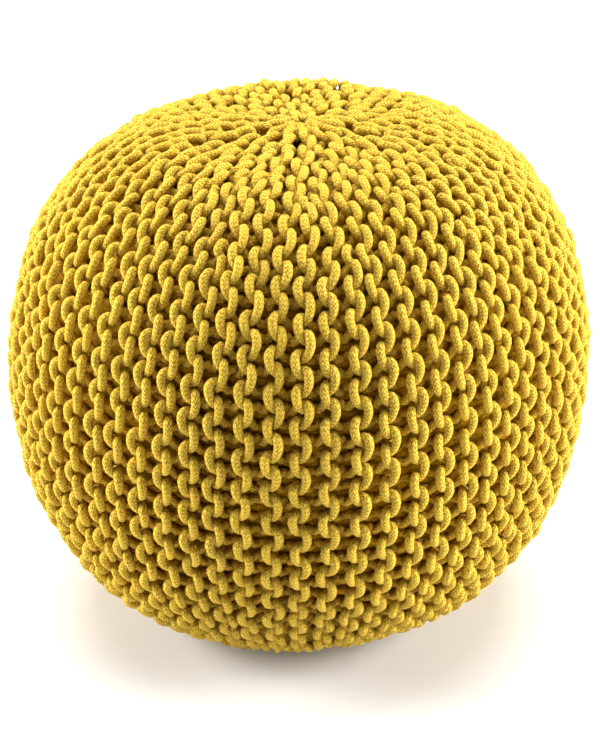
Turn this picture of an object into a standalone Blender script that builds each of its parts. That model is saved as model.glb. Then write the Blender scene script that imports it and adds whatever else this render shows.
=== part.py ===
"""Knitted rope pouf: a round floor cushion whose cord ridges run from the crown's gather to the foot.

Metres, +Z up. The origin is on the floor, under the middle of the pouf.
"""

import math

import bmesh
import bpy
import numpy as np

# Driving dimensions
DIAMETER = 0.500  # across the ridge crests at the widest place
STITCHES = 28.0  # stitch lengths down the outline, from the crown's middle to the foot's middle
RIDGE_DEPTH = 0.0085  # from a ridge's crest down to the groove beside it
RIDGE_SLOPE = 0.36  # deepest groove as a share of the ridge's own width, where ridges crowd together
FOOT_RADIUS = 0.120  # the flat that rests on the floor
FOOT_BLEND = 0.030  # height over which the ridges smooth out into the foot
GATHER_RADIUS = 0.009  # the crown's closing loop
GATHER_DEPTH = 0.005  # how far the stuffing sinks inside it
CROWN_SHIFT = 0.006  # the crown sits this far to +X of the foot, as the stuffing has settled
SWELL = 0.0016  # height of the stuffing's slow, uneven bulges
SWELL_WAVES = (  # lobes round the pouf, their twist down the outline, phase, and share of SWELL
    (2, 0, 0.7, 1.0),
    (3, 2, 2.1, 0.8),
    (5, -3, 0.4, 0.6),
)

# The outline from the crown's middle to the foot's middle, as arcs that run on from one another:
# share of its length, and the surface's lean there in degrees (0 level, 90 upright, 180 underneath).
OUTLINE = (
    (0.000, 10.0),
    (0.125, 1.0),
    (0.250, 43.0),
    (0.375, 74.0),
    (0.500, 90.0),
    (0.625, 106.5),
    (0.750, 136.5),
    (0.875, 178.0),
    (1.000, 180.0),
)
OUTLINE_STEPS = 800

# Ridges are knitted in like sectors, and short rows start and end some of them away from the gathers.
SECTORS = 11
RIDGE_STARTS = (0.0, 4.2, 1.8, 6.0, 0.9, 2.9)  # in stitches from the crown's or foot's middle
OPENING = 1.8  # stitches over which a starting ridge widens to its full share
RINGS_PER_OPENING = 2  # rings of points in that length, on the crown
COLUMNS = 4  # points across a ridge
SIDE_RINGS = 14  # rings of points from where every ridge has opened down to the foot

COTTON_YELLOW = (0.72, 0.47, 0.035, 1.0)
COTTON_ROUGHNESS = 0.95
SHARP_ANGLE = 60.0  # faces that meet at more degrees than this are shaded apart


def clear_scene():
    for thing in list(bpy.data.objects):
        bpy.data.objects.remove(thing, do_unlink=True)


def cotton_material():
    material = bpy.data.materials.new("yellow_cotton_cord")
    material.use_nodes = True
    shader = material.node_tree.nodes["Principled BSDF"]
    shader.inputs["Base Color"].default_value = COTTON_YELLOW
    shader.inputs["Roughness"].default_value = COTTON_ROUGHNESS
    shader.inputs["Metallic"].default_value = 0.0
    return material


def make_outline():
    """Position in stitches, radius, height and lean, at even steps down the outline."""
    steps = np.linspace(0.0, 1.0, OUTLINE_STEPS + 1)
    shares, leans = np.array(OUTLINE).T
    lean = np.radians(np.interp(steps, shares, leans))
    middle = (lean[1:] + lean[:-1]) / 2
    radius = np.concatenate(([0.0], np.cumsum(np.cos(middle))))
    height = -np.concatenate(([0.0], np.cumsum(np.sin(middle))))
    scale = DIAMETER / 2 / radius.max()
    return steps * STITCHES, radius * scale, (height - height.min()) * scale, lean


OUTLINE_CURVE = make_outline()
CROWN_HEIGHT = float(OUTLINE_CURVE[2][0])


def outline_at(stitch):
    positions, radius, height, lean = OUTLINE_CURVE
    return tuple(float(np.interp(stitch, positions, row)) for row in (radius, height, lean))


def foot_stitch():
    """Where the outline, on its way inwards underneath, comes to the foot's radius."""
    positions, radius, _, _ = OUTLINE_CURVE
    under = positions > STITCHES / 2
    return float(np.interp(-FOOT_RADIUS, -radius[under], positions[under]))


def swell_at(stitch, azimuth):
    """A smooth bulge or hollow that fades out at the crown and the foot."""
    along = stitch / STITCHES * math.pi
    waves = sum(
        share * math.sin(lobes * azimuth + twist * along + phase)
        for lobes, twist, phase, share in SWELL_WAVES
    )
    return SWELL * waves * math.sin(along)


def surface_point(stitch, azimuth, depth):
    """A point depth below the crests' surface, measured square to it."""
    radius, height, lean = outline_at(stitch)
    inset = depth - swell_at(stitch, azimuth)
    radius -= inset * math.sin(lean)
    height = max(height - inset * math.cos(lean), 0.0)
    shift = CROWN_SHIFT * (height / CROWN_HEIGHT - 0.5)
    return (
        radius * math.cos(azimuth) + shift,
        radius * math.sin(azimuth),
        height,
    )


def ridge_widths(stitch):
    """Each ridge's share of its sector, where one that hasn't started, or has ended, has none."""
    from_end = min(stitch, STITCHES - stitch)
    open_by = [min(max((from_end - start) / OPENING, 0.0), 1.0) for start in RIDGE_STARTS]
    total = sum(open_by)
    return [share / total for share in open_by]


def groove_depth(stitch, width):
    """The groove's depth at a ring: shallow where ridges crowd, and gone at the foot."""
    radius, height, _ = outline_at(stitch)
    ridge_width = 2 * math.pi * radius / SECTORS * width
    side = stitch < STITCHES / 2
    fade = 1.0 if side else min(max(height / FOOT_BLEND, 0.0), 1.0)
    return min(RIDGE_DEPTH, RIDGE_SLOPE * ridge_width) * fade


def add_ring(mesh, stitch):
    """One ring of vertices: four for each open ridge, and its neighbour's first for a closed one."""
    ring = []
    sector_angle = 2 * math.pi / SECTORS
    for sector in range(SECTORS):
        left = sector * sector_angle
        for width in ridge_widths(stitch):
            for column in range(COLUMNS):
                if width == 0.0:
                    ring.append(None)
                    continue
                across = column / COLUMNS
                azimuth = left + across * width * sector_angle
                depth = groove_depth(stitch, width) * math.cos(math.pi * across) ** 2
                ring.append(mesh.verts.new(surface_point(stitch, azimuth, depth)))
            left += width * sector_angle
    for index in range(2 * len(ring) - 1, -1, -1):
        if ring[index % len(ring)] is None:
            ring[index % len(ring)] = ring[(index + 1) % len(ring)]
    return ring


def bridge(mesh, upper, lower):
    """Faces between two rings, with triangles fanning out where a ridge starts."""
    for index in range(len(upper)):
        following = (index + 1) % len(upper)
        corners = (upper[index], upper[following], lower[following], lower[index])
        distinct = list(dict.fromkeys(corners))
        if len(distinct) > 2:
            mesh.faces.new(distinct)


def close_ring(mesh, ring, centre):
    """A fan of triangles from a ring's distinct vertices to one in the middle."""
    hub = mesh.verts.new(centre)
    for index, vertex in enumerate(ring):
        following = ring[(index + 1) % len(ring)]
        if following is not vertex:
            mesh.faces.new((vertex, following, hub))


def ring_positions():
    """Where the rings lie, in stitches from the crown's middle."""
    first_stitch_radius = outline_at(1.0)[0]
    gather = GATHER_RADIUS / first_stitch_radius
    opened = max(RIDGE_STARTS) + OPENING
    crown_rings = round(opened / OPENING * RINGS_PER_OPENING)
    crown = np.linspace(0.0, opened, crown_rings + 1)[1:]
    side = np.linspace(opened, foot_stitch(), SIDE_RINGS + 1)[1:]
    return [gather] + [float(position) for position in np.concatenate((crown, side))]


def knit_pouf():
    """The whole cover, filled firm, as one closed solid."""
    shell = bmesh.new()
    rings = [add_ring(shell, position) for position in ring_positions()]
    for vertex in set(rings[-1]):
        vertex.co.z = 0.0
    for upper, lower in zip(rings, rings[1:]):
        bridge(shell, upper, lower)
    crown_x = CROWN_SHIFT / 2
    close_ring(shell, rings[0], (crown_x, 0.0, CROWN_HEIGHT - GATHER_DEPTH))
    close_ring(shell, rings[-1], (-crown_x, 0.0, 0.0))
    bmesh.ops.recalc_face_normals(shell, faces=shell.faces)
    centre_on_floor(shell)
    mesh = bpy.data.meshes.new("knit_pouf")
    shell.to_mesh(mesh)
    shell.free()
    mesh.shade_smooth()
    mesh.set_sharp_from_angle(angle=math.radians(SHARP_ANGLE))
    pouf = bpy.data.objects.new("knit_pouf", mesh)
    pouf.data.materials.append(cotton_material())
    bpy.context.scene.collection.objects.link(pouf)
    return pouf


def centre_on_floor(shell):
    """Put the origin under the middle of the pouf's width and depth."""
    xs = [vertex.co.x for vertex in shell.verts]
    ys = [vertex.co.y for vertex in shell.verts]
    offset = (-(min(xs) + max(xs)) / 2, -(min(ys) + max(ys)) / 2, 0.0)
    bmesh.ops.translate(shell, verts=shell.verts, vec=offset)


clear_scene()
knit_pouf()
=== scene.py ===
"""Looks of the knitted rope pouf: soft cotton cord, knitted in garter stitch and filled firm.

The rows run from the crown's gather to the foot's, so every two rows show as one upright ridge.
Metres, +Z up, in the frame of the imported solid.
"""

import math

import bpy
import numpy as np
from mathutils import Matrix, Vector


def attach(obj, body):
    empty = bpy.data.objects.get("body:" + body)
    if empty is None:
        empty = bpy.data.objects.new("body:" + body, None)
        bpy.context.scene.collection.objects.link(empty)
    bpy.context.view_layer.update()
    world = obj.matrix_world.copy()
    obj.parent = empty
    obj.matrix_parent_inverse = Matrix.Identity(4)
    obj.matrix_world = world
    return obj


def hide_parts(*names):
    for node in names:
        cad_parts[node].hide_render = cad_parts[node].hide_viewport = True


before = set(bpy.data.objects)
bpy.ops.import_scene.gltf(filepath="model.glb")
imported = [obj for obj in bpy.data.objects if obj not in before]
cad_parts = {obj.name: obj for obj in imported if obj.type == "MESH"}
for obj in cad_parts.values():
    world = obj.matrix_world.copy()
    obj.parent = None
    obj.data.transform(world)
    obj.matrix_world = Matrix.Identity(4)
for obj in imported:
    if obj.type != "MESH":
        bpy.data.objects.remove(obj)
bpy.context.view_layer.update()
SOLID = "knit_pouf"

# The solid's own driving sizes, repeated
DIAMETER = 0.500  # across the ridge crests at the widest place
STITCHES = 28.0  # stitch lengths down the outline, from the crown's middle to the foot's middle
CROWN_SHIFT = 0.006  # the crown sits this far to +X of the foot
SWELL = 0.0016  # height of the stuffing's slow, uneven bulges
SWELL_WAVES = (  # lobes round the pouf, their twist down the outline, phase, and share of SWELL
    (2, 0, 0.7, 1.0),
    (3, 2, 2.1, 0.8),
    (5, -3, 0.4, 0.6),
)
OUTLINE = (  # share of the outline's length, and the surface's lean there in degrees
    (0.000, 10.0),
    (0.125, 1.0),
    (0.250, 43.0),
    (0.375, 74.0),
    (0.500, 90.0),
    (0.625, 106.5),
    (0.750, 136.5),
    (0.875, 178.0),
    (1.000, 180.0),
)
OUTLINE_STEPS = 800
SECTORS = 11
RIDGE_STARTS = (0.0, 4.2, 1.8, 6.0, 0.9, 2.9)  # in stitches from the crown's or foot's middle
OPENING = 1.8  # stitches over which a starting ridge widens to its full share
RIDGES = SECTORS * len(RIDGE_STARTS)

# The cord, and how its stitch is first laid
CORD_DIAMETER = 0.0072
CORD_RADIUS = CORD_DIAMETER / 2
RELIEF = 0.0090  # from the cover's middle surface out to the front arcs' centre
NECK = 0.0046  # how far each arc spreads over the gaps beside it, past its own legs
SLANT = 0.0012  # half of how far an arc's lower end lies inwards of its upper end
LEAN = 0.0015  # half of how far every arc's lower end lies to the right of its upper end
TILT = 0.0014  # how far an arc's upper end stands out of the cover past its lower end
PLUNGE = 0.16  # how much sooner than an even wave the arcs' ends sink into the cover
BOW = 0.14  # how much more sharply than an even wave the arcs bow
NARROW_SHARES = (  # ridge width, and there the shares of the relief and of the neck
    (0.0080, 0.62, 0.70),
    (0.0200, 1.0, 1.0),
)
WIDE_REACH = (0.0226, 0.0108)  # ridge width, and how far its arcs reach from their row
TIGHT_REACH = (0.0120, 0.0069)
STITCH_POINTS = 40

# How stitches settle against each other
RIDGE_WIDTHS = (0.0070, 0.0105, 0.0140, 0.0175, 0.0210, 0.0245)  # stitches are settled at these
SOFTNESS = 0.84  # where two cords press together they lie this share of a diameter apart
PRESSED = CORD_DIAMETER * SOFTNESS
OWN_POINTS = 6  # a cord can't press on itself within so many points
SAME_PLACE = 1e-9  # keeps every distance above zero
SETTLE_ROUNDS = 60
SETTLE_SMOOTHING = 0.15
SETTLE_HOLD = 0.08

# How the cords lie in the cover
COVER_DEPTH = RELIEF + CORD_RADIUS  # from the crests down to the cover's middle surface
LAG = 0.55  # the back of the cover lies this much further down the ridge for each unit of depth
GATHER_START = 0.45  # stitches from the middle to the cords of a ridge that starts there
SHORT_ROW_START = 0.4 * OPENING  # stitches from another ridge's start to its cords
END_MARGIN = 0.05  # no cord comes closer to the middle than this many stitches
NARROWEST_ROW = 0.004  # a narrower row shifts across by as many rows as one this wide
CORD_WIDTHS = (  # share of the way in from the crests, and of the diameter: squeezed, then spread
    (0.0, 1.05),
    (0.25, 0.92),
    (0.45, 1.0),
    (1.0, 1.22),
)

# The cords' mesh
SECTIONS = 6
CORD_SIDES = 8
RINGS_PER_STITCH = 18
RING_WIDTH = -2  # the ridge width, counted from the widest, whose stitch places the rings
BACK_SPARENESS = 5.0  # rings are this much further apart at the back, where they hardly show
SHOWING = (-0.6, 0.2)  # share of the relief where the cord starts to show, and shows in full
FIRST_NORMAL = (0.3, 0.2, 1.0)  # a direction that no cord starts along

# The knit's inner side
BACK_DEPTH = 0.0035  # it lies this far below the cover's middle surface
BACK_RIB = 0.0018  # its cords lie side by side as ribs, and half of a rib's height is this
BACK_RIBS = 2  # in each stitch's length
BACK_ENDS = 0.3  # it closes this many stitches from the crown's and the foot's middle
BACK_RINGS = 396
BACK_COLUMNS = 140

# Unevenness of hand knitting
SEED = 47
SHIFT_ALONG = 0.0016
SHIFT_ACROSS = 0.0010
SHIFT_OUT = 0.0012
SHIFT_LIMIT = 1.8  # a random shift is at most this many times its usual size
OWN_SHIFT = 0.35  # size of a cord's own shifts against the ones that it shares
RIDGE_UNEVENNESS = 0.06

# The cotton's colours and surface
COTTON_STRAND = (0.87, 0.635, 0.086, 1.0)
# the braid's pits: the cotton darkened as painted shade
COTTON_PIT_SHADE = (0.46, 0.218, 0.001, 1.0)
COTTON_GOLD = (0.80, 0.50, 0.022, 1.0)
# colour of the cords deep in the cover: painted shade
COTTON_RECESS_SHADE = (0.52, 0.222, 0.0005, 1.0)
# the knit's inner side is the same cotton, darkened as painted shade: its pits, then its strands
BACK_SHADED_PIT = (0.32, 0.145, 0.001, 1.0)
BACK_SHADED_STRAND = (0.56, 0.28, 0.002, 1.0)
COTTON_ROUGHNESS = 0.95
COTTON_GLOSS = 0.1
COTTON_SHEEN = 0.06
COTTON_SHEEN_TINT = (1.0, 0.96, 0.72, 1.0)
RECESS_SHADE_DEPTHS = (0.3, 0.82)  # share of the way in where the painted shade on the cord starts, and is darkest
RECESS_SHADE_STRENGTH = 0.82
TONE_SCALE = 28.0  # patches of deeper gold
TONE_RANGE = (0.3, 0.7)
TONE_STRENGTH = 0.25

# The cord's braid
BRAID_LANES = 8.0  # lanes of strands round the cord
BRAID_LENGTH = 0.0032  # from strand to strand along a lane
BRAID_SLANT = 0.7  # a strand's middle and its ends lie this share of that length apart
BRAID_WANDER = 90.0  # scale of the noise that moves strands along their lanes
BRAID_CREST = (-1.0, 0.6)  # wave heights where a strand starts to rise, and is at its full height
BRAID_FOLD = (-0.3, 0.35)  # the same from a lane's edge inwards, where its middle is 1
BRAID_DEPTH = 0.0009
BRAID_STRENGTH = 1.0
FIBRE_SCALE = 700.0
FIBRE_DETAIL = 3.0
FIBRE_HEIGHT = 1.6  # against a strand's height of 1
LIT_HEIGHTS = (0.65, 1.7)  # of strands and fibres together, from the pits' painted shade to the strands' colour

# The studio
FLOOR_REACH = 14.0  # from its middle to each edge
FLOOR_ROUGHNESS = 1.0
FLOOR_GLOSS = 0.0
FLOOR_SCALE = 60.0
FLOOR_LOW = (0.80, 0.80, 0.80, 1.0)
FLOOR_HIGH = (0.82, 0.82, 0.82, 1.0)
ROOM_COLOUR = (1.0, 1.0, 1.0, 1.0)
ROOM_LIGHT = 0.03
LIT_POINT = (0.0, 0.0, 0.2)
SOFTBOXES = (  # name, place, width and height, watts
    ("softbox_above", (0.0, 1.2, 4.4), (4.8, 4.0), 408.0),
    ("softbox_left", (-3.8, 0.45, 1.25), (2.0, 2.4), 360.0),
    ("softbox_right", (3.8, -0.25, 1.25), (2.0, 2.4), 362.0),
)
CAMERA_TARGET = (0.0, 0.0, 0.21)
CAMERA_DISTANCE = 2.0
CAMERA_ELEVATION = 26.9
CAMERA_LENS = 112.6

# Numbers of a Mix node's colour sockets, which share their names with its other sockets
MIX_FIRST = 6
MIX_SECOND = 7
MIX_RESULT = 2


def make_outline():
    """Stitch, radius, height and lean at even steps down the outline, and then its length."""
    steps = np.linspace(0.0, 1.0, OUTLINE_STEPS + 1)
    shares, leans = np.array(OUTLINE).T
    lean = np.radians(np.interp(steps, shares, leans))
    middle = (lean[1:] + lean[:-1]) / 2
    radius = np.concatenate(([0.0], np.cumsum(np.cos(middle))))
    height = -np.concatenate(([0.0], np.cumsum(np.sin(middle))))
    scale = DIAMETER / 2 / radius.max()
    length = OUTLINE_STEPS * scale
    return steps * STITCHES, radius * scale, (height - height.min()) * scale, lean, length


OUTLINE_AT, OUTLINE_RADIUS, OUTLINE_HEIGHT, OUTLINE_LEAN, OUTLINE_LENGTH = make_outline()
CROWN_HEIGHT = float(OUTLINE_HEIGHT[0])
PITCH = OUTLINE_LENGTH / STITCHES


def swell(stitch, azimuth):
    """How far the stuffing bulges, fading out at the crown and the foot."""
    along = stitch / STITCHES * math.pi
    waves = sum(
        share * np.sin(lobes * azimuth + twist * along + phase)
        for lobes, twist, phase, share in SWELL_WAVES
    )
    return SWELL * waves * np.sin(along)


def surface(stitch, azimuth, depth):
    """World points that far below the surface of the ridge crests."""
    radius = np.interp(stitch, OUTLINE_AT, OUTLINE_RADIUS)
    height = np.interp(stitch, OUTLINE_AT, OUTLINE_HEIGHT)
    lean = np.interp(stitch, OUTLINE_AT, OUTLINE_LEAN)
    inset = depth - swell(stitch, azimuth)
    radius = radius - inset * np.sin(lean)
    height = height - inset * np.cos(lean)
    shift = CROWN_SHIFT * (height / CROWN_HEIGHT - 0.5)
    return np.stack(
        (radius * np.cos(azimuth) + shift, radius * np.sin(azimuth), height), axis=-1
    )


def peaked(turn, sharpness):
    """A cosine whose crests and troughs are drawn to more of a point."""
    return (np.cos(turn) + sharpness * np.cos(3 * turn)) / (1 + sharpness)


def loose_stitch(ridge_width, reach, side):
    """One stitch as first laid: along its row, across it, and out of the cover.

    Its side is 1 in an even row, whose arcs show on the right of a ridge, and -1 in an odd one.
    """
    turn = 2 * math.pi * np.arange(STITCH_POINTS) / STITCH_POINTS
    widths, reliefs, necks = zip(*NARROW_SHARES)
    relief = RELIEF * np.interp(ridge_width, widths, reliefs)
    neck = NECK * np.interp(ridge_width, widths, necks)
    along = PITCH * turn / (2 * math.pi) + neck * np.sin(2 * turn)
    leaning = (SLANT - side * LEAN) * ridge_width / WIDE_REACH[0]
    across = -reach * peaked(turn, BOW) + leaning * np.sin(turn)
    out = side * (TILT * np.sin(turn) - relief * peaked(turn, PLUNGE)) + RELIEF - relief
    return np.stack((along, across, out), axis=1)


def neighbours(pair, parity, ridge_width):
    """The same stitch further along its row, and the stitches in the two rows on each side."""
    for step in (-1, 0, 1):
        for row in (-2, -1, 0, 1, 2):
            yield step, row, pair[(parity + row) % 2] + (step * PITCH, row * ridge_width / 2, 0.0)


def neighbour_points(stitch, offset):
    """Each point's neighbour so many points along the row, over the stitch's ends."""
    rolled = np.roll(stitch, -offset, axis=0)
    if offset > 0:
        rolled[-offset:, 0] += PITCH
    else:
        rolled[:-offset, 0] -= PITCH
    return rolled


def bend(stitch):
    """How sharply the cord bends at each point, against its neighbours two to each side."""
    return (
        neighbour_points(stitch, 2)
        - 4 * neighbour_points(stitch, 1)
        + 6 * stitch
        - 4 * neighbour_points(stitch, -1)
        + neighbour_points(stitch, -2)
    )


def pushed_clear(pair, parity, ridge_width, clear):
    """One of the two stitches, moved out of the cords that it presses into."""
    stitch = pair[parity]
    index = np.arange(STITCH_POINTS)
    push = np.zeros_like(stitch)
    contacts = np.zeros(STITCH_POINTS)
    for step, row, other in neighbours(pair, parity, ridge_width):
        apart = stitch[:, None] - other[None]
        distance = np.linalg.norm(apart, axis=2) + SAME_PLACE
        if row == 0:
            steps = np.abs(index[:, None] - index[None] - step * STITCH_POINTS)
            distance[steps < OWN_POINTS] = 1.0
        overlap = np.clip(clear - distance, 0.0, None)
        push += (apart / distance[..., None] * overlap[..., None]).sum(axis=1) / 2
        contacts += (overlap > 0).sum(axis=1)
    return stitch + push / np.maximum(contacts, 1)[:, None]


def settled_stitches(ridge_width):
    """An even and an odd row's stitch, pushed clear of each other, and still smooth."""
    narrow = min(ridge_width / TIGHT_REACH[0], 1.0)
    reach = narrow * np.interp(
        ridge_width, (TIGHT_REACH[0], WIDE_REACH[0]), (TIGHT_REACH[1], WIDE_REACH[1])
    )
    laid = [loose_stitch(ridge_width, reach, side) for side in (1, -1)]
    pair = [stitch.copy() for stitch in laid]
    for _ in range(SETTLE_ROUNDS):
        pair = [pushed_clear(pair, parity, ridge_width, PRESSED * narrow) for parity in (0, 1)]
        pair = [stitch - SETTLE_SMOOTHING * bend(stitch) / 6 for stitch in pair]
        pair = [stitch + SETTLE_HOLD * (first - stitch) for stitch, first in zip(pair, laid)]
    return pair


def sample_phases(stitch):
    """Where along a stitch its rings of vertices lie: closer together where the cord shows."""
    closed = np.vstack((stitch, stitch[:1] + (PITCH, 0.0, 0.0)))
    lengths = np.linalg.norm(np.diff(closed, axis=0), axis=1)
    middle_out = (closed[1:, 2] + closed[:-1, 2]) / 2
    spareness = np.interp(middle_out / RELIEF, SHOWING, (BACK_SPARENESS, 1.0))
    weight = np.concatenate(([0.0], np.cumsum(lengths / spareness)))
    wanted = (np.arange(RINGS_PER_STITCH) + 0.5) / RINGS_PER_STITCH * weight[-1]
    return np.interp(wanted, weight, np.arange(STITCH_POINTS + 1) / STITCH_POINTS)


def periodic(values, phases):
    """A smooth curve through evenly spaced values that repeat, read at some phases."""
    count = len(values)
    spectrum = np.fft.rfft(values)
    order = np.arange(len(spectrum))
    waves = np.exp(2j * math.pi * np.outer(phases, order))
    scale = np.where((order == 0) | (order == count / 2), 1.0, 2.0) / count
    return (waves * spectrum * scale).real.sum(axis=1)


def stitch_pages(stitches, phases):
    """Settled stitches by ridge width: offsets along, across in rows, and out, at some phases."""
    even = np.arange(STITCH_POINTS) / STITCH_POINTS
    pages = []
    for width, stitch in zip(RIDGE_WIDTHS, stitches):
        along = periodic(stitch[:, 0] / PITCH - even, phases)
        across = periodic(stitch[:, 1] / (width / 2), phases)
        out = periodic(stitch[:, 2], phases)
        pages.append(np.stack((along, across, out), axis=1))
    return np.array(pages)


def stitch_book():
    """Phases and pages for even rows, and for odd rows, whose arcs come half a stitch later."""
    settled = [settled_stitches(width) for width in RIDGE_WIDTHS]
    book = []
    for stitches in zip(*settled):
        phases = sample_phases(stitches[RING_WIDTH])
        book.append((phases, stitch_pages(stitches, phases)))
    return book


def ridge_evenness():
    """Some ridges are knitted a little wider than others."""
    chance = np.random.default_rng(SEED)
    return 1.0 + RIDGE_UNEVENNESS * chance.uniform(-1.0, 1.0, RIDGES)


RIDGE_EVENNESS = ridge_evenness()


def open_shares(stitch):
    """Each ridge's width as a share of a whole ridge, at each place down the outline."""
    starts = np.tile(RIDGE_STARTS, SECTORS)
    above = np.clip((stitch[:, None] - starts) / OPENING, 0.0, 1.0)
    below = np.clip((STITCHES - stitch[:, None] - starts) / OPENING, 0.0, 1.0)
    return np.minimum(above, below) * RIDGE_EVENNESS


def azimuth_of(stitch, row):
    """Azimuth of a fractional row, with every ridge's width at that place taken into account."""
    shares = open_shares(stitch)
    edges = np.concatenate((np.zeros((len(stitch), 1)), np.cumsum(shares, axis=1)), axis=1)
    total = edges[:, -1]
    turns, ridge = np.divmod(row / 2, RIDGES)
    whole = np.clip(ridge.astype(int), 0, RIDGES - 1)
    lines = np.arange(len(stitch))
    place = edges[lines, whole] + (ridge - whole) * shares[lines, whole]
    return 2 * math.pi * (turns + place / total)


def local_width(stitch, ridge):
    """The ridge's real width at each place along it."""
    shares = open_shares(stitch)
    inset = COVER_DEPTH * np.sin(np.interp(stitch, OUTLINE_AT, OUTLINE_LEAN))
    radius = np.maximum(np.interp(stitch, OUTLINE_AT, OUTLINE_RADIUS) - inset, 0.0)
    return 2 * math.pi * radius * shares[:, ridge] / shares.sum(axis=1)


def eased(share):
    """A share from 0 to 1 that starts and ends gently."""
    return share * share * (3 - 2 * share)


class Unevenness:
    """Slow random shifts over the cover, which neighbouring cords share."""

    def __init__(self, seed, rows, stitches):
        chance = np.random.default_rng(seed)
        shifts = chance.normal(0.0, 1.0, (stitches + 2, rows, 3))
        self.grid = shifts.clip(-SHIFT_LIMIT, SHIFT_LIMIT)

    def at(self, stitch, row):
        """Shifts along, across and out, at places in stitches and rows of the grid."""
        first = np.clip(np.floor(stitch).astype(int), 0, self.grid.shape[0] - 2)
        side = np.floor(row).astype(int)
        down = eased(np.clip(stitch - first, 0.0, 1.0))[:, None]
        over = eased(row - side)[:, None]
        rows = self.grid.shape[1]
        near, far = side % rows, (side + 1) % rows
        upper = self.grid[first, near] * (1 - over) + self.grid[first, far] * over
        lower = self.grid[first + 1, near] * (1 - over) + self.grid[first + 1, far] * over
        return upper * (1 - down) + lower * down


SHARED = Unevenness(SEED + 1, RIDGES, int(STITCHES))
OWN = Unevenness(SEED + 2, RIDGES * 2, int(STITCHES) * 2)


def row_shifts(place, row):
    """How far each point of a row is shifted along, across and out, before their sizes."""
    shared = SHARED.at(place, np.full(len(place), row / 2.0))
    own = OWN.at(place * 2, np.full(len(place), float(row)))
    return shared + OWN_SHIFT * own


def shape_at(width, step, pages):
    """Offsets along, across and out, between the two pages nearest to each point's ridge width."""
    page = np.interp(width, RIDGE_WIDTHS, np.arange(len(RIDGE_WIDTHS)))
    lower = np.minimum(page.astype(int), len(RIDGE_WIDTHS) - 2)
    blend = (page - lower)[:, None]
    return pages[lower, step] * (1 - blend) + pages[lower + 1, step] * blend


def row_points(row, first, last, book):
    """One row of knitting from the first to the last place in stitches.

    Each point is its place in the world and, fourth, how deep in the cover it lies.
    """
    phases, pages = book[row % 2]
    whole = np.arange(math.floor(first) - 1, math.ceil(last) + 1)
    place = (whole[:, None] + phases[None]).ravel()
    step = np.tile(np.arange(RINGS_PER_STITCH), len(whole))
    keep = (place >= first) & (place <= last)
    place, step = place[keep], step[keep]
    width = local_width(place, row // 2)
    shape = shape_at(width, step, pages)
    shift = row_shifts(place, row)
    out = shape[:, 2]
    row_width = np.maximum(width / 2, NARROWEST_ROW)
    stitch = place + shape[:, 0] + (shift[:, 0] * SHIFT_ALONG - out * LAG) / PITCH
    stitch = np.clip(stitch, END_MARGIN, STITCHES - END_MARGIN)
    across = row + 0.5 + shape[:, 1] + shift[:, 1] * SHIFT_ACROSS / row_width
    recess = np.interp(out / RELIEF, (-1.0, 1.0), (1.0, 0.0))
    out = out + shift[:, 2] * SHIFT_OUT
    points = surface(stitch, azimuth_of(stitch, across), COVER_DEPTH - out)
    points[:, 2] = np.maximum(points[:, 2], cord_radii(recess))
    return np.hstack((points, recess[:, None]))


def cord_radii(recess):
    """The cord is squeezed where arcs meet, and spreads where it is pressed in the depth."""
    return CORD_RADIUS * np.interp(recess, *np.transpose(CORD_WIDTHS))


def ridge_cord(ridge, book):
    """The cord of one ridge: up its first row, round at the top and down its second."""
    start = RIDGE_STARTS[ridge % len(RIDGE_STARTS)]
    inset = GATHER_START if start == 0.0 else SHORT_ROW_START
    top = start + inset
    bottom = STITCHES - start - inset
    upward = row_points(2 * ridge, top, bottom, book)[::-1]
    downward = row_points(2 * ridge + 1, top, bottom, book)
    return np.vstack((upward, downward))


def carried_normals(tangents):
    """A direction square to the cord, carried along it without twist."""
    normals = np.empty_like(tangents)
    normal = np.cross(tangents[0], FIRST_NORMAL)
    for index, tangent in enumerate(tangents):
        normal = normal - tangent * normal.dot(tangent)
        normal = normal / math.sqrt(normal.dot(normal))
        normals[index] = normal
    return normals


def tube_vertices(points, radii):
    """A ring of vertices round each point of one cord."""
    tangents = np.gradient(points, axis=0)
    tangents /= np.linalg.norm(tangents, axis=1)[:, None]
    normals = carried_normals(tangents)
    sides = np.cross(tangents, normals)
    turn = 2 * math.pi * np.arange(CORD_SIDES) / CORD_SIDES
    towards_normal = normals[:, None] * np.cos(turn)[None, :, None]
    towards_side = sides[:, None] * np.sin(turn)[None, :, None]
    ring = towards_normal + towards_side
    return (points[:, None] + ring * radii[:, None, None]).reshape(-1, 3)


def tube_quads(count):
    """Quads between one cord's rings, by the numbers of their vertices."""
    upper = np.arange(count - 1)[:, None] * CORD_SIDES
    lower = upper + CORD_SIDES
    here = np.arange(CORD_SIDES)[None]
    following = (here + 1) % CORD_SIDES
    corners = (upper + here, upper + following, lower + following, lower + here)
    return np.stack(corners, axis=-1).reshape(-1, 4)


def tube_uv(points):
    """Each quad corner's place along its cord in metres, and round it in turns."""
    steps = np.linalg.norm(np.diff(points, axis=0), axis=1)
    length = np.concatenate(([0.0], np.cumsum(steps)))
    here = np.arange(CORD_SIDES)[None]
    shape = (len(points) - 1, CORD_SIDES, 4)
    along = np.stack((length[:-1], length[:-1], length[1:], length[1:]), axis=-1)
    around = np.stack((here, here + 1, here + 1, here), axis=-1) / CORD_SIDES
    along = np.broadcast_to(along[:, None], shape)
    around = np.broadcast_to(around, shape)
    return np.stack((along, around), axis=-1).reshape(-1, 2)


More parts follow.
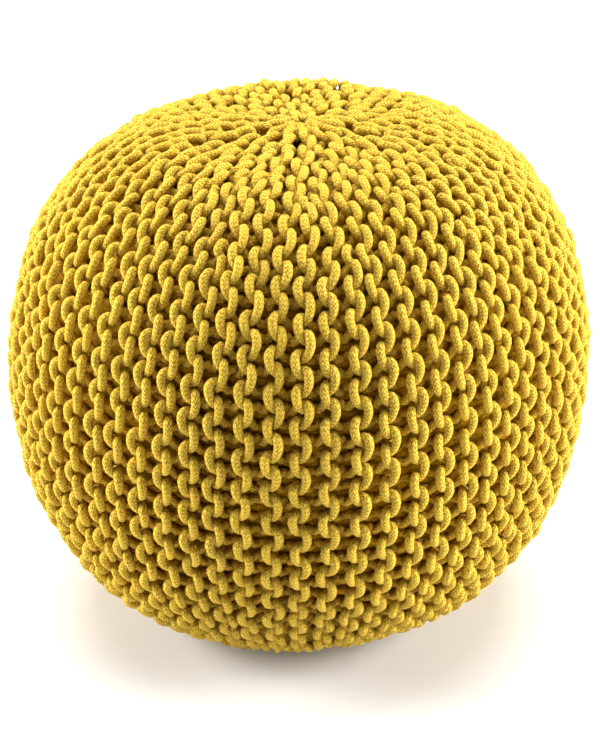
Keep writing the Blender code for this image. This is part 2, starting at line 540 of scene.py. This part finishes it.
def faces_mesh(name, vertices, quads, caps, quad_uv):
    """A mesh of quads, and of the caps that close the cords' ends."""
    corners = np.concatenate((quads.ravel(), caps.ravel()))
    starts = np.concatenate(
        (np.arange(len(quads)) * 4, len(quads) * 4 + np.arange(len(caps)) * CORD_SIDES)
    )
    mesh = bpy.data.meshes.new(name)
    mesh.vertices.add(len(vertices))
    mesh.vertices.foreach_set("co", vertices.ravel())
    mesh.loops.add(len(corners))
    mesh.loops.foreach_set("vertex_index", corners)
    mesh.polygons.add(len(starts))
    mesh.polygons.foreach_set("loop_start", starts)
    uv = np.zeros((len(corners), 2))
    uv[: len(quads) * 4] = quad_uv
    mesh.uv_layers.new(name="cord").data.foreach_set("uv", uv.ravel())
    return mesh


def cords_mesh(name, cords):
    """One mesh of many cords, which knows how deep in the cover each vertex lies."""
    vertices, quads, uv, caps = [], [], [], []
    count = 0
    for cord in cords:
        points = cord[:, :3]
        vertices.append(tube_vertices(points, cord_radii(cord[:, 3])))
        quads.append(tube_quads(len(points)) + count)
        uv.append(tube_uv(points))
        first = np.arange(CORD_SIDES) + count
        count += len(vertices[-1])
        last = np.arange(CORD_SIDES) + count - CORD_SIDES
        caps.extend((first[::-1], last))
    mesh = faces_mesh(name, np.vstack(vertices), np.vstack(quads), np.array(caps), np.vstack(uv))
    recess = np.concatenate([np.repeat(cord[:, 3], CORD_SIDES) for cord in cords])
    # the cotton's painted shade deep in the cover is drawn from this depth
    mesh.attributes.new("recess", "FLOAT", "POINT").data.foreach_set("value", recess)
    mesh.update(calc_edges=True)
    mesh.validate()
    mesh.shade_smooth()
    return mesh


def shaded_knit_back():
    """The knit's inner side, pressed close by the stuffing, which closes the gaps between cords."""
    stitch = np.linspace(BACK_ENDS, STITCHES - BACK_ENDS, BACK_RINGS)
    azimuth = np.arange(BACK_COLUMNS) / BACK_COLUMNS * 2 * math.pi
    grid_stitch, grid_azimuth = np.meshgrid(stitch, azimuth, indexing="ij")
    rib = BACK_RIB * np.cos(2 * math.pi * BACK_RIBS * grid_stitch.ravel())
    points = surface(grid_stitch.ravel(), grid_azimuth.ravel(), COVER_DEPTH + BACK_DEPTH - rib)
    faces, uv = back_faces(stitch)
    mesh = bpy.data.meshes.new("shaded_knit_back")
    mesh.from_pydata(points.tolist(), [], faces)
    mesh.uv_layers.new(name="cord").data.foreach_set("uv", np.array(uv).ravel())
    mesh.update()
    mesh.shade_smooth()
    return mesh


def back_faces(stitch):
    """Quads between the inner side's rings, and a cap at each end, with their corners' UVs."""
    faces, uv = [], []
    for ring in range(BACK_RINGS - 1):
        for column in range(BACK_COLUMNS):
            corners = (
                (ring, column),
                (ring + 1, column),
                (ring + 1, column + 1),
                (ring, column + 1),
            )
            faces.append([place * BACK_COLUMNS + turn % BACK_COLUMNS for place, turn in corners])
            for place, turn in corners:
                uv.append((turn / BACK_COLUMNS * math.pi * DIAMETER, stitch[place] * BACK_RIBS))
    count = BACK_RINGS * BACK_COLUMNS
    faces.append(list(range(BACK_COLUMNS)))
    faces.append([count - 1 - column for column in range(BACK_COLUMNS)])
    uv.extend([(0.0, 0.0)] * 2 * BACK_COLUMNS)
    return faces, uv


def place_piece(name, mesh, material):
    piece = bpy.data.objects.new(name, mesh)
    bpy.context.scene.collection.objects.link(piece)
    mesh.materials.append(material)
    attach(piece, "root")
    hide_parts(SOLID)
    return piece


class Nodes:
    """A new material's nodes, with short calls for making and joining them."""

    def __init__(self, name, roughness, gloss):
        self.material = bpy.data.materials.new(name)
        self.material.use_nodes = True
        self.tree = self.material.node_tree
        self.shader = self.tree.nodes["Principled BSDF"]
        self.shader.inputs["Roughness"].default_value = roughness
        self.shader.inputs["Specular IOR Level"].default_value = gloss

    def node(self, kind, inputs=(), **settings):
        node = self.tree.nodes.new(kind)
        for name, value in settings.items():
            setattr(node, name, value)
        for socket, value in dict(inputs).items():
            self.feed(node.inputs[socket], value)
        return node

    def feed(self, socket, value):
        if isinstance(value, bpy.types.NodeSocket):
            self.tree.links.new(value, socket)
        else:
            socket.default_value = value

    def math(self, operation, first, second=0.0):
        return self.node(
            "ShaderNodeMath", {0: first, 1: second}, operation=operation
        ).outputs["Value"]

    def noise(self, scale, detail=2.0):
        place = self.node("ShaderNodeTexCoord").outputs["Object"]
        return self.node(
            "ShaderNodeTexNoise", {"Vector": place, "Scale": scale, "Detail": detail}
        ).outputs["Fac"]

    def between(self, value, low, high):
        """A value stretched so that low becomes 0 and high becomes 1, and no further."""
        return self.node(
            "ShaderNodeMapRange", {"Value": value, "From Min": low, "From Max": high}
        ).outputs["Result"]

    def mix(self, share, first, second):
        node = self.node("ShaderNodeMix", data_type="RGBA")
        self.feed(node.inputs["Factor"], share)
        self.feed(node.inputs[MIX_FIRST], first)
        self.feed(node.inputs[MIX_SECOND], second)
        return node.outputs[MIX_RESULT]

    def bump(self, height, distance, strength):
        return self.node(
            "ShaderNodeBump", {"Height": height, "Distance": distance, "Strength": strength}
        ).outputs["Normal"]


def braid(nodes):
    """Height of the cord's braid: lanes along the cord, each a row of folded strands."""
    place = nodes.node("ShaderNodeUVMap", uv_map="cord").outputs["UV"]
    axes = nodes.node("ShaderNodeSeparateXYZ", {"Vector": place})
    lane = nodes.math("FRACT", nodes.math("MULTIPLY", axes.outputs["Y"], BRAID_LANES))
    fold = nodes.math("PINGPONG", nodes.math("MULTIPLY", lane, 2.0), 1.0)
    along = nodes.math("DIVIDE", axes.outputs["X"], BRAID_LENGTH)
    moved = nodes.math("ADD", along, nodes.noise(BRAID_WANDER))
    strand = nodes.math("ADD", moved, nodes.math("MULTIPLY", fold, BRAID_SLANT))
    wave = nodes.math("SINE", nodes.math("MULTIPLY", strand, 2 * math.pi))
    crest = nodes.between(wave, *BRAID_CREST)
    return nodes.math("MULTIPLY", crest, nodes.between(fold, *BRAID_FOLD))


def braided_cotton(nodes, pit_shade, strand):
    """Sets the relief of strands and fibres, and gives its colour from the painted shade of the
    pits to the strands.
    """
    fibres = nodes.math("MULTIPLY", nodes.noise(FIBRE_SCALE, FIBRE_DETAIL), FIBRE_HEIGHT)
    rough = nodes.math("ADD", braid(nodes), fibres)
    nodes.feed(nodes.shader.inputs["Normal"], nodes.bump(rough, BRAID_DEPTH, BRAID_STRENGTH))
    return nodes.mix(nodes.between(rough, *LIT_HEIGHTS), pit_shade, strand)


def cotton_material():
    """Matt braided cotton: its strands catch the light, its braid's pits carry painted shade, and
    painted shade darkens it deep in the cover.
    """
    nodes = Nodes("cotton_cord", COTTON_ROUGHNESS, COTTON_GLOSS)
    cotton = braided_cotton(nodes, COTTON_PIT_SHADE, COTTON_STRAND)
    tone = nodes.between(nodes.noise(TONE_SCALE), *TONE_RANGE)
    cotton = nodes.mix(nodes.math("MULTIPLY", tone, TONE_STRENGTH), cotton, COTTON_GOLD)
    # painted shade: the deeper a cord lies in the cover, the darker its colour
    depth = nodes.node("ShaderNodeAttribute", attribute_name="recess").outputs["Fac"]
    recess_shade = nodes.math("MULTIPLY", nodes.between(depth, *RECESS_SHADE_DEPTHS), RECESS_SHADE_STRENGTH)
    nodes.feed(nodes.shader.inputs["Base Color"], nodes.mix(recess_shade, cotton, COTTON_RECESS_SHADE))
    nodes.shader.inputs["Sheen Weight"].default_value = COTTON_SHEEN
    nodes.shader.inputs["Sheen Tint"].default_value = COTTON_SHEEN_TINT
    return nodes.material


def back_material():
    """The same cotton in the knit's depth, darkened all over as painted shade, where only its
    shaded loops show.
    """
    nodes = Nodes("shaded_knit_back", COTTON_ROUGHNESS, COTTON_GLOSS)
    cotton = braided_cotton(nodes, BACK_SHADED_PIT, BACK_SHADED_STRAND)
    nodes.feed(nodes.shader.inputs["Base Color"], cotton)
    return nodes.material


def floor_material():
    """Plain pale floor with a faint mottle."""
    nodes = Nodes("studio_floor", FLOOR_ROUGHNESS, FLOOR_GLOSS)
    mottle = nodes.noise(FLOOR_SCALE)
    nodes.feed(nodes.shader.inputs["Base Color"], nodes.mix(mottle, FLOOR_LOW, FLOOR_HIGH))
    return nodes.material


def make_pieces():
    """The cords in sections of neighbouring ridges, and the knit's inner side."""
    book = stitch_book()
    cotton = cotton_material()
    per_section = RIDGES // SECTIONS
    for section in range(SECTIONS):
        name = f"knit_section_{section + 1}"
        ridges = range(section * per_section, (section + 1) * per_section)
        cords = [ridge_cord(ridge, book) for ridge in ridges]
        place_piece(name, cords_mesh(name, cords), cotton)
    place_piece("shaded_knit_back", shaded_knit_back(), back_material())


def make_floor():
    mesh = bpy.data.meshes.new("studio_floor")
    signs = ((-1, -1), (1, -1), (1, 1), (-1, 1))
    corners = [(x * FLOOR_REACH, y * FLOOR_REACH, 0) for x, y in signs]
    mesh.from_pydata(corners, [], [(0, 1, 2, 3)])
    floor = bpy.data.objects.new("studio_floor", mesh)
    bpy.context.scene.collection.objects.link(floor)
    mesh.materials.append(floor_material())


def softbox(name, place, size, watts):
    """A large even light that faces the pouf."""
    light = bpy.data.lights.new(name, "AREA")
    light.shape = "RECTANGLE"
    light.size, light.size_y = size
    light.energy = watts
    box = bpy.data.objects.new(name, light)
    box.location = place
    away = box.location - Vector(LIT_POINT)
    box.rotation_mode = "QUATERNION"
    box.rotation_quaternion = away.to_track_quat("Z", "Y")
    box.visible_camera = False
    bpy.context.scene.collection.objects.link(box)


def make_lights():
    """A dim even room and the softboxes."""
    world = bpy.data.worlds.new("studio")
    bpy.context.scene.world = world
    world.use_nodes = True
    background = world.node_tree.nodes["Background"]
    background.inputs["Color"].default_value = ROOM_COLOUR
    background.inputs["Strength"].default_value = ROOM_LIGHT
    for name, place, size, watts in SOFTBOXES:
        softbox(name, place, size, watts)


def make_camera():
    """A view of the front from above, as in the photo."""
    camera = bpy.data.objects.new("camera", bpy.data.cameras.new("camera"))
    elevation = math.radians(CAMERA_ELEVATION)
    back = Vector((0.0, -math.cos(elevation), math.sin(elevation)))
    camera.location = Vector(CAMERA_TARGET) + back * CAMERA_DISTANCE
    camera.rotation_mode = "QUATERNION"
    camera.rotation_quaternion = back.to_track_quat("Z", "Y")
    camera.data.lens = CAMERA_LENS
    bpy.context.scene.collection.objects.link(camera)
    bpy.context.scene.camera = camera


bpy.context.scene.view_settings.view_transform = "Standard"
make_camera()
make_lights()
make_floor()
make_pieces()
